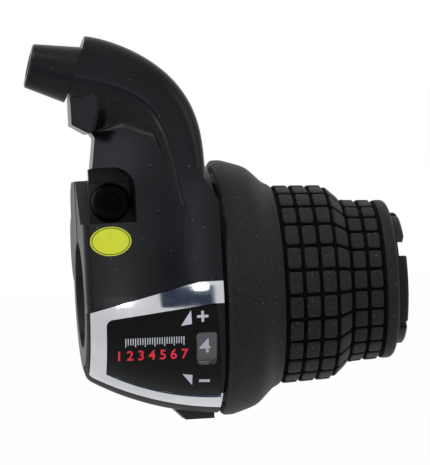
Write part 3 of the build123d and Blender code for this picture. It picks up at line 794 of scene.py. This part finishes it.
def drop_on(piece, node_name, material, body, straight=True, height=ink_height):
    """Lays a piece on a CAD node, straight back from the front or to the nearest place, and finishes it."""
    bpy.ops.object.modifier_add(type="SHRINKWRAP")
    wrap = piece.modifiers[-1]
    wrap.target = frame["nodes"][node_name]
    wrap.offset = height
    if straight:
        wrap.wrap_method = "PROJECT"
        wrap.use_project_y = True
        wrap.use_positive_direction = True
        wrap.use_negative_direction = False
    else:
        wrap.wrap_mode = "ABOVE_SURFACE"
    bpy.ops.object.modifier_apply(modifier=wrap.name)
    piece.data.materials.clear()
    piece.data.materials.append(material)
    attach(piece, body)
    print("laid:", piece.name, len(piece.data.polygons), "faces on", node_name)


# %% [markdown]
# ### Numbers on the dial
# The dial shows one number in the window for each gear. The grip turns the dial by 15 degrees a gear, and the
# fourth number is in the window at rest. A short dash stands under every second number. Each number is rolled
# round the dial by hand first, because a straight drop from the front would stretch those at the sides.

# %% Numbers on the dial
gears = range(1, 8)
gear_at_rest = 4
gear_angle = 15.0
window_angle = 30.4
dial_x = -4.69
dial_r = 22.6
figure_height = 3.1
dash_half = 1.1
dash_low = -3.95
dash_high = -3.6

figures = []
for gear in gears:
    name = "figure_" + str(gear)
    parts = [lettering(name, str(gear), figure_height, dial_x, 0)]
    if gear % 2 == 0:
        parts.append(bar("dash", dial_x - dash_half, dash_low, dial_x + dash_half, dash_high))
    mark = joined(name, parts)
    cut_fine(mark, 2)
    for vertex in mark.data.vertices:
        turn = vertex.co.z / (dial_r * mm)
        vertex.co = Vector((vertex.co.x, -dial_r * mm * cos(turn), dial_r * mm * sin(turn)))
    mark.rotation_euler = (radians(window_angle + gear_angle * (gear - gear_at_rest)), 0, 0)
    bpy.ops.object.transform_apply(location=True, rotation=True, scale=True)
    figures.append(mark)
dial_figures = joined("dial_figures", figures)
drop_on(dial_figures, "indicator_dial", print_pale, "grip", straight=False)

# %% [markdown]
# ### Marks on the lens
# On the lens, small triangles with a plus and a minus show which way to turn, a row of fine strokes stands for the
# scale, and the seven gears stand under it in red. All the white marks are one print, as they would be on one
# screen.

# %% Marks on the lens
arrow_up = [(-7.78, -3.95), (-9.88, -7.07), (-7.66, -6.78)]
arrow_down = [(-9.51, -17.08), (-7.49, -17.39), (-7.46, -19.53)]
minus = [(-6.1, -18.95), (-3.9, -19.05), (-3.9, -18.5), (-6.1, -18.4)]
plus_x, plus_z = -5.46, -5.31
plus_long, plus_thin = 1.15, 0.27
scale_strokes = 25
scale_left = -21.0
scale_step = 0.482
scale_top = -9.2
stroke_width = 0.2
stroke_low, long_stroke_low = -10.6, -11.0
strokes_to_a_long_one = 4

marks = [flat_shape("up", arrow_up), flat_shape("down", arrow_down)]
for name, wide, tall in (("across", plus_long, plus_thin), ("upright", plus_thin, plus_long)):
    marks.append(bar(name, plus_x - wide, plus_z - tall, plus_x + wide, plus_z + tall))
marks.append(flat_shape("minus", minus))
for number in range(scale_strokes):
    left = scale_left + number * scale_step
    low = stroke_low if number % strokes_to_a_long_one else long_stroke_low
    marks.append(bar("stroke", left, low, left + stroke_width, scale_top))
lens_marks = joined("lens_marks", marks)
cut_fine(lens_marks, 3)
drop_on(lens_marks, "indicator_lens", print_white, "housing")

# %% Gears on the lens
range_height = 1.95
range_x, range_z = -15.7, -12.9

lens_range = lettering("lens_range", " ".join(str(gear) for gear in gears), range_height, range_x, range_z)
cut_fine(lens_range, 2)
drop_on(lens_range, "indicator_lens", print_red, "housing")

# %% [markdown]
# ### Label
# The label is a bright oval of film with a dark line just inside its edge. It starts as a circle, is inset ring by
# ring so that it can bend round the corner of the cover, and is then dropped on the cover. The line is the first
# ring of a slightly smaller oval, with its middle taken out, and lies on the film.

# %% Label
label_x, label_z = -23.0, 10.9
label_wide, label_high = 8.2, 6.0
label_points = 48
label_rings = 5
ring_width = 0.5 * mm
line_share = 0.93
line_width = 0.16 * mm
line_height = 0.06 * mm


def oval(share):
    turns = [2 * pi * i / label_points for i in range(label_points)]
    half_wide, half_high = share * label_wide / 2, share * label_high / 2
    return [(label_x + half_wide * cos(turn), label_z + half_high * sin(turn)) for turn in turns]


def inset_rings(width, rings):
    """In edit mode, insets the face of a new shape ring by ring, and leaves its middle selected."""
    bpy.ops.object.mode_set(mode="EDIT")
    bpy.ops.mesh.select_mode(type="FACE")
    bpy.ops.mesh.select_all(action="SELECT")
    for ring in range(rings):
        bpy.ops.mesh.inset(thickness=width)


label = flat_shape("label_oval", oval(1.0))
inset_rings(ring_width, label_rings)
bpy.ops.object.mode_set(mode="OBJECT")
drop_on(label, "front_cover", label_yellow, "housing")

line = flat_shape("label_line", oval(line_share))
inset_rings(line_width, 1)
bpy.ops.mesh.delete(type="FACE")
bpy.ops.object.mode_set(mode="OBJECT")
drop_on(line, "front_cover", label_dark, "housing", height=line_height)

# %% [markdown]
# ## The web under the arm
# Where the lobe meets the underside of the arm, the moulded cover has a web that fills the corner, as mouldings
# have, because a sharp inner corner cracks. The solid has a plain corner there. A web could be lofted, but its
# edges would have to be found on the curved cover first. Here a fine net is laid on the cover from the front, like
# a cloth, just under its surface.

# %% Net on the corner of the arm
web_left, web_right = -25.2, -12.4
web_low, web_high = 30.2, 43.9
web_step = 0.35
web_height = -0.1 * mm

web_wide, web_tall = web_right - web_left, web_high - web_low
web_middle = Vector(((web_left + web_right) / 2 * mm, front_plane, (web_low + web_high) / 2 * mm))
bpy.ops.object.select_all(action="DESELECT")
bpy.ops.mesh.primitive_grid_add(
    x_subdivisions=round(web_wide / web_step), y_subdivisions=round(web_tall / web_step), size=1,
    location=web_middle, rotation=(pi / 2, 0, 0))
arm_web = bpy.context.object
arm_web.name = "arm_web"
arm_web.scale = (web_wide * mm, web_tall * mm, 1)
bpy.ops.object.transform_apply(location=True, rotation=True, scale=True)
drop_on(arm_web, "front_cover", cover_plastic, "housing", height=web_height)

# %% [markdown]
# The middle of the net is then relaxed between its edges: it pulls straight, as a soap film does, and that is the
# web. A few more rounds over a wider area let it run out softly, and what isn't needed of the net is taken away.

# %% Relax the net to a web
corner_left, corner_length = -24.7, 11.5
corner_top, corner_top_fall = 43.0, 7.8
corner_foot, corner_foot_fall = 34.6, 2.6
pull = 0.5
film_rounds = 220
soft_rounds = 14
soft_margin = 0.8
net_margin = 1.3


def in_corner(point, margin=0.0):
    """Whether a place, in front view, is in the corner of lobe and arm, or within a margin of it."""
    along = (point.x / mm - corner_left) / corner_length
    low = corner_foot - corner_foot_fall * along - margin
    high = corner_top - corner_top_fall * along + margin
    return point.x / mm > corner_left - margin and low < point.z / mm < high


def relax(piece, rounds, margin=0.0):
    """Evens out the depth of a net, in the corner and a margin round it."""
    select_where(piece, "VERT", lambda point: in_corner(point, margin))
    bpy.ops.mesh.vertices_smooth(factor=pull, repeat=rounds, xaxis=False, yaxis=True, zaxis=False)


relax(arm_web, film_rounds)
relax(arm_web, soft_rounds, soft_margin)
select_where(arm_web, "FACE", lambda point: not in_corner(point, net_margin))
bpy.ops.mesh.delete(type="FACE")
bpy.ops.object.mode_set(mode="OBJECT")
bpy.ops.object.shade_smooth()
print("web:", len(arm_web.data.polygons), "faces")
